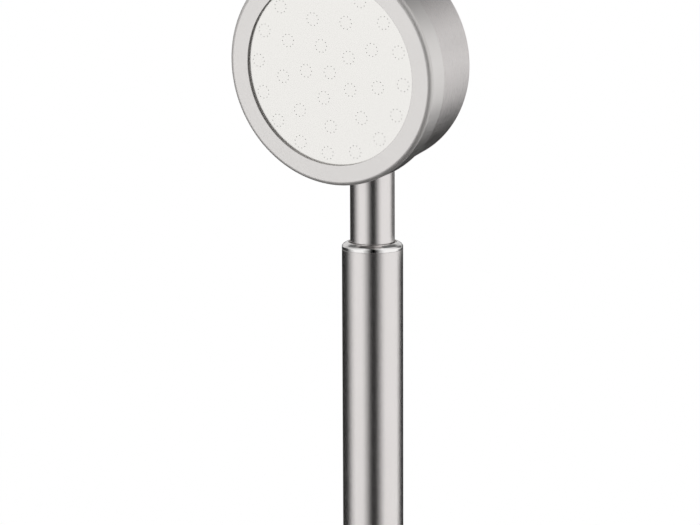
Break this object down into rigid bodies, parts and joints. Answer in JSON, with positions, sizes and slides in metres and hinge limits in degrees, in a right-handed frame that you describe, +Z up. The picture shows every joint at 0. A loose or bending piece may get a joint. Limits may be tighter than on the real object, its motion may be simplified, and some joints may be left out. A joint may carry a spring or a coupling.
{
  "type": "hand shower head",
  "caption": "Hand shower with a tilted steel drum head, a screw-on face ring over a perforated spray plate, a slim neck and a tubular handle with a threaded hose inlet.",
  "frame": {"origin": "on the handle's axis, at the inlet shoulder where the hose nut stops", "axes": "+Z up along the handle's axis towards the head, -Y the way the spray leaves, +X to the right seen from the front"},
  "size_m": [0.0806, 0.0472, 0.2392],
  "materials": {
    "turned_steel": "fine turned satin",
    "brushed_steel": "fine brushed satin",
    "plate_steel": "pale matt satin",
    "silicone": "matt, translucent white",
    "seal_rubber": "matt black",
    "wire_mesh": "woven wire"
  },
  "bodies": {
    "body": {"head_shell": "brushed_steel", "mouth_ring": "turned_steel", "neck_tube": "brushed_steel", "handle_collar": "turned_steel", "handle_tube": "brushed_steel", "inlet_nipple": "turned_steel", "strainer_mesh": "wire_mesh", "strainer_seal": "seal_rubber"},
    "spray_face": {"spray_plate": "plate_steel", "plate_gasket": "silicone"},
    "ring": {"face_ring": "turned_steel"}
  },
  "joints": [
    {"name": "face_lift", "type": "slide", "parent": "body", "child": "spray_face", "axis": [0, -0.9934, -0.1149], "range_m": [0, 0.004]},
    {"name": "ring_unscrew", "type": "hinge", "parent": "spray_face", "child": "ring", "pos_m": [0, -0.0303, 0.18539], "axis": [0, -0.9934, -0.1149], "range_deg": [0, 1440]}
  ],
  "couplings": [
    {"joint": "face_lift", "follows": "ring_unscrew", "m_per_rad": 0.00015915}
  ]
}
